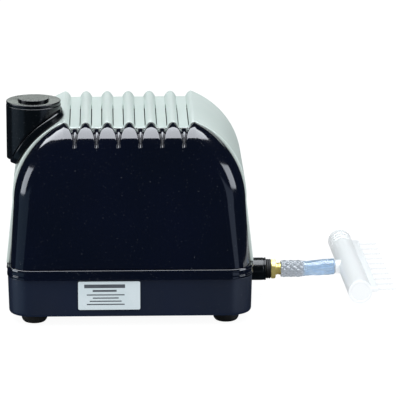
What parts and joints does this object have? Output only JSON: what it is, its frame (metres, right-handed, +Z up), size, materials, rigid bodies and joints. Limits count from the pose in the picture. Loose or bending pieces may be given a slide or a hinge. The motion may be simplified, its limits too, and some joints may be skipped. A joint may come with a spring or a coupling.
{
  "type": "air pump",
  "caption": "Linear diaphragm air pump with ribbed housing, domed end caps, intake filter on one shoulder, base outlet, short hose and comb-like air manifold.",
  "frame": {"origin": "bottom centre of the bounding box of the pump with its hose and manifold, on the plane the feet stand on", "axes": "+X from the housing towards the outlet and manifold, -Y out of the face with the rating label, +Z up"},
  "size_m": [0.3943, 0.2138, 0.2228],
  "materials": {
    "navy_gloss": "deep navy moulded plastic, high gloss, with fine swirl scratches",
    "navy_satin": "navy moulded plastic, satin, fine grain",
    "shell_plastic": "light grey-white moulded plastic, soft sheen",
    "black_plastic": "black moulded plastic, semi-gloss",
    "black_rubber": "matt black moulded rubber",
    "label_film": "blank pale printed film, matt",
    "brass": "turned brass, lightly tarnished",
    "clear_hose": "clear flexible hose with a blue tint",
    "white_plastic": "white moulded plastic, smooth satin",
    "foam": "open-cell filter foam",
    "steel": "zinc-plated steel",
    "aluminium": "die-cast aluminium, satin",
    "laminated_iron": "varnished laminated iron",
    "copper_winding": "enamelled copper winding",
    "magnet": "ground ferrite magnet",
    "diaphragm_rubber": "moulded synthetic rubber, matt",
    "tank_plastic": "dark moulded plastic, matt"
  },
  "bodies": {
    "root": {"air_tank": "tank_plastic", "base_tray": "navy_satin", "cable_gland": "black_rubber", "coil_front": "copper_winding", "coil_rear": "copper_winding", "core_bracket_front": "aluminium", "core_bracket_rear": "aluminium", "core_front": "laminated_iron", "core_rear": "laminated_iron", "cover_shell": "shell_plastic", "diaphragm_left": "diaphragm_rubber", "diaphragm_right": "diaphragm_rubber", "drive_frame": "aluminium", "duct_left": "black_rubber", "duct_right": "black_rubber", "end_cap_front": "navy_gloss", "end_cap_rear": "navy_gloss", "filter_foam": "foam", "filter_saddle": "black_plastic", "foot_front_left": "black_rubber", "foot_front_right": "black_rubber", "foot_rear_left": "black_rubber", "foot_rear_right": "black_rubber", "foot_screw_front_left": "steel", "foot_screw_front_right": "steel", "foot_screw_rear_left": "steel", "foot_screw_rear_right": "steel", "head_cover_left": "aluminium", "head_cover_right": "aluminium", "hose_tail": "brass", "manifold": "white_plastic", "manifold_cap_front": "white_plastic", "manifold_cap_rear": "white_plastic", "outlet_hose": "clear_hose", "outlet_socket": "black_plastic", "outlet_washer": "black_rubber", "pump_head_left": "aluminium", "pump_head_right": "aluminium", "rating_label": "label_film", "rim_band": "navy_gloss", "saddle_gasket": "black_rubber", "tank_lid": "tank_plastic", "terminal_block": "white_plastic", "vibration_mount_front_left": "black_rubber", "vibration_mount_front_right": "black_rubber", "vibration_mount_rear_left": "black_rubber", "vibration_mount_rear_right": "black_rubber"},
    "armature": {"armature_rod": "aluminium", "magnet_left": "magnet", "magnet_right": "magnet", "clamp_disc_left": "aluminium", "clamp_disc_right": "aluminium", "rod_nut_left": "steel", "rod_nut_right": "steel"},
    "filter_cap": {"filter_cap": "black_plastic"},
    "inlet_flap_left": {"inlet_flap_left": "diaphragm_rubber"},
    "inlet_flap_right": {"inlet_flap_right": "diaphragm_rubber"},
    "outlet_flap_left": {"outlet_flap_left": "diaphragm_rubber"},
    "outlet_flap_right": {"outlet_flap_right": "diaphragm_rubber"}
  },
  "joints": [
    {"name": "armature_slide", "type": "slide", "parent": "root", "child": "armature", "axis": [1, 0, 0], "range_m": [-0.002, 0.002], "stiffness_N_per_m": 2000, "deforming": ["diaphragm_left", "diaphragm_right"]},
    {"name": "filter_cap_lift", "type": "slide", "parent": "root", "child": "filter_cap", "axis": [0, 0, 1], "range_m": [0, 0.045]},
    {"name": "inlet_flap_left_hinge", "type": "hinge", "parent": "root", "child": "inlet_flap_left", "pos_m": [-0.16055, -0.00455, 0.104], "axis": [0, -1, 0], "range_deg": [0, 14], "stiffness_Nm_per_rad": 0.0002},
    {"name": "outlet_flap_left_hinge", "type": "hinge", "parent": "root", "child": "outlet_flap_left", "pos_m": [-0.16515, -0.00455, 0.14], "axis": [0, 1, 0], "range_deg": [0, 14], "stiffness_Nm_per_rad": 0.0002},
    {"name": "inlet_flap_right_hinge", "type": "hinge", "parent": "root", "child": "inlet_flap_right", "pos_m": [0.01585, -0.00455, 0.104], "axis": [0, 1, 0], "range_deg": [0, 14], "stiffness_Nm_per_rad": 0.0002},
    {"name": "outlet_flap_right_hinge", "type": "hinge", "parent": "root", "child": "outlet_flap_right", "pos_m": [0.02045, -0.00455, 0.14], "axis": [0, -1, 0], "range_deg": [0, 14], "stiffness_Nm_per_rad": 0.0002}
  ]
}
